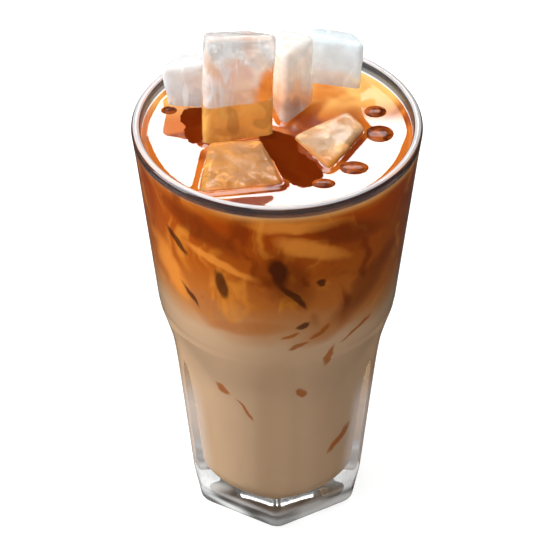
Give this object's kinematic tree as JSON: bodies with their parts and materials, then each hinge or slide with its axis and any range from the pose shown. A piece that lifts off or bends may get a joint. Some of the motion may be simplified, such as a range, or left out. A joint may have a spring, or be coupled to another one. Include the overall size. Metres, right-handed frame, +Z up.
{
  "type": "iced coffee",
  "caption": "Iced coffee in a heavy tumbler with a six-sided lower half: coffee over milk, with clear ice cubes standing out of the drink.",
  "frame": {"origin": "middle of the face that the glass stands on", "axes": "+Z up along the glass's axis, a corner of the six-sided foot towards -Y, which is the front, +X to the right of it"},
  "size_m": [0.088, 0.088, 0.1698],
  "materials": {
    "clear_glass": "polished pressed glass",
    "milk": "opaque milk stained with coffee",
    "coffee": "glossy translucent milky coffee",
    "ice": "wet, slightly cloudy ice"
  },
  "bodies": {
    "root": {"glass": "clear_glass", "milk": "milk", "coffee": "coffee", "ice_left": "ice", "ice_tall": "ice", "ice_leaning": "ice", "ice_back": "ice", "ice_front_left": "ice", "ice_front_right": "ice"}
  },
  "joints": []
}
